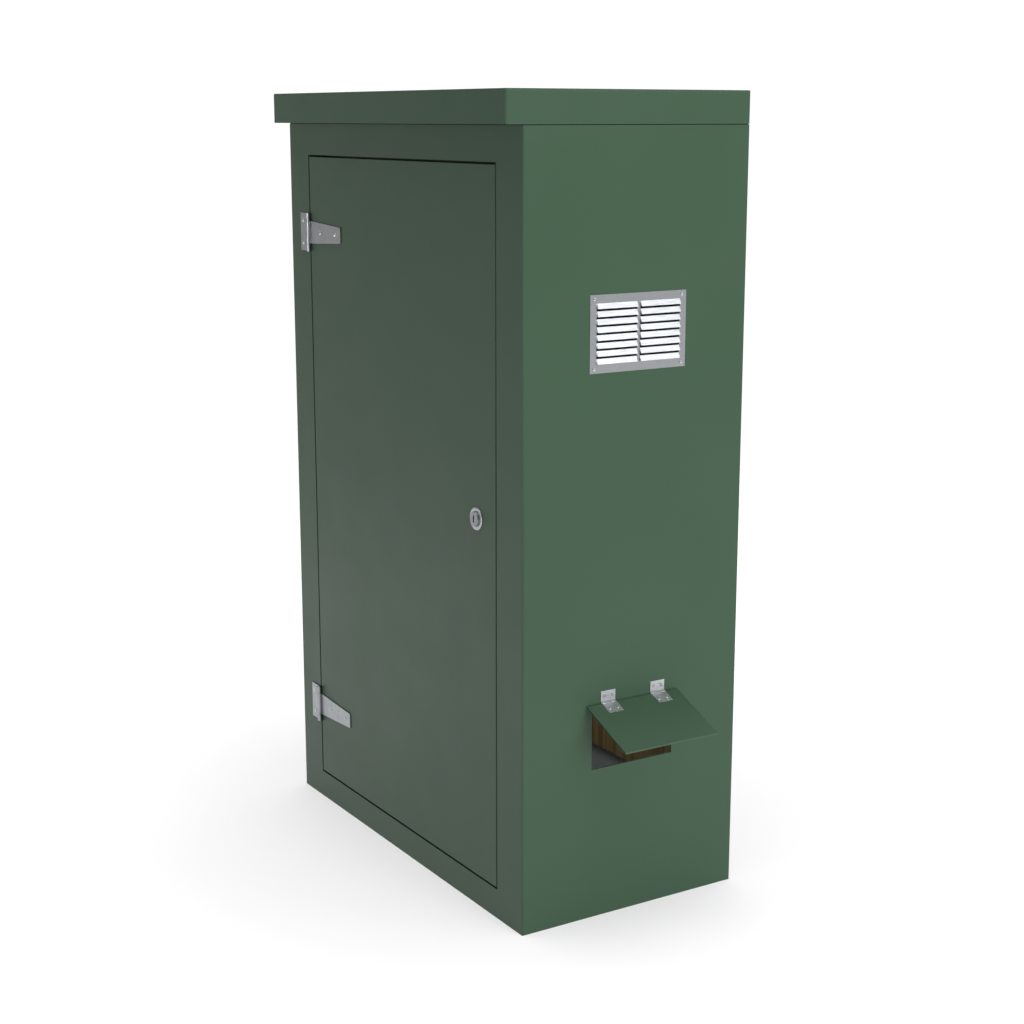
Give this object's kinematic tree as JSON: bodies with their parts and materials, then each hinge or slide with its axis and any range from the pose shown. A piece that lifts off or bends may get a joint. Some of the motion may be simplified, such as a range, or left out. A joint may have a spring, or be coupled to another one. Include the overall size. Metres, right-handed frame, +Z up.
{
  "type": "roadside utility cabinet",
  "caption": "Tall box-shaped outdoor kiosk with a flat overhanging roof, a side-hung door, a louvred vent and a hinged flap over a cable opening in its side.",
  "frame": {"origin": "on the ground, in the middle of the four base fixing holes", "axes": "+X to the right across the door side, +Y from the door to the back, +Z up"},
  "size_m": [1.1495, 0.57, 1.67],
  "materials": {
    "gelcoat_green": "satin",
    "plywood": "matte",
    "softwood": "matte",
    "galvanised_steel": "satin",
    "zinc_plated_steel": "satin",
    "mill_aluminium": "satin",
    "foam_rubber": "matte",
    "lock_zinc": "satin"
  },
  "bodies": {
    "cabinet": {"body_shell": "gelcoat_green", "roof": "gelcoat_green", "roof_seal": "foam_rubber", "roof_bolts": "zinc_plated_steel", "roof_nuts": "zinc_plated_steel", "backboard": "plywood", "backboard_rails": "softwood", "backboard_screws": "zinc_plated_steel", "vent_louvre": "mill_aluminium", "vent_screws": "zinc_plated_steel", "door_seal": "foam_rubber", "upper_hinge_leaf": "galvanised_steel", "lower_hinge_leaf": "galvanised_steel", "upper_hinge_pin": "galvanised_steel", "lower_hinge_pin": "galvanised_steel", "hinge_leaf_screws": "zinc_plated_steel", "hinge_leaf_nuts": "zinc_plated_steel", "flap_wall_leaf_front": "zinc_plated_steel", "flap_wall_leaf_rear": "zinc_plated_steel", "flap_pin_front": "zinc_plated_steel", "flap_pin_rear": "zinc_plated_steel", "flap_wall_rivets": "mill_aluminium"},
    "door": {"door_panel": "gelcoat_green", "upper_hinge_strap": "galvanised_steel", "lower_hinge_strap": "galvanised_steel", "strap_screws": "zinc_plated_steel", "strap_nuts": "zinc_plated_steel", "lock_housing": "lock_zinc", "lock_nut": "lock_zinc"},
    "lock": {"lock_insert": "lock_zinc", "lock_cam": "zinc_plated_steel", "lock_cam_screw": "zinc_plated_steel"},
    "flap": {"flap_panel": "gelcoat_green", "flap_leaf_front": "zinc_plated_steel", "flap_leaf_rear": "zinc_plated_steel", "flap_panel_rivets": "mill_aluminium"}
  },
  "joints": [
    {"name": "door_hinge", "type": "hinge", "parent": "cabinet", "child": "door", "pos_m": [-0.406, -0.2712, 0.799], "axis": [0, 0, -1], "range_deg": [0, 170]},
    {"name": "lock_turn", "type": "hinge", "parent": "door", "child": "lock", "pos_m": [0.331, -0.266, 0.832], "axis": [0, -1, 0], "range_deg": [0, 90]},
    {"name": "flap_hinge", "type": "hinge", "parent": "cabinet", "child": "flap", "pos_m": [0.5082, 0, 0.46], "axis": [0, -1, 0], "range_deg": [-67.5, 80]}
  ]
}
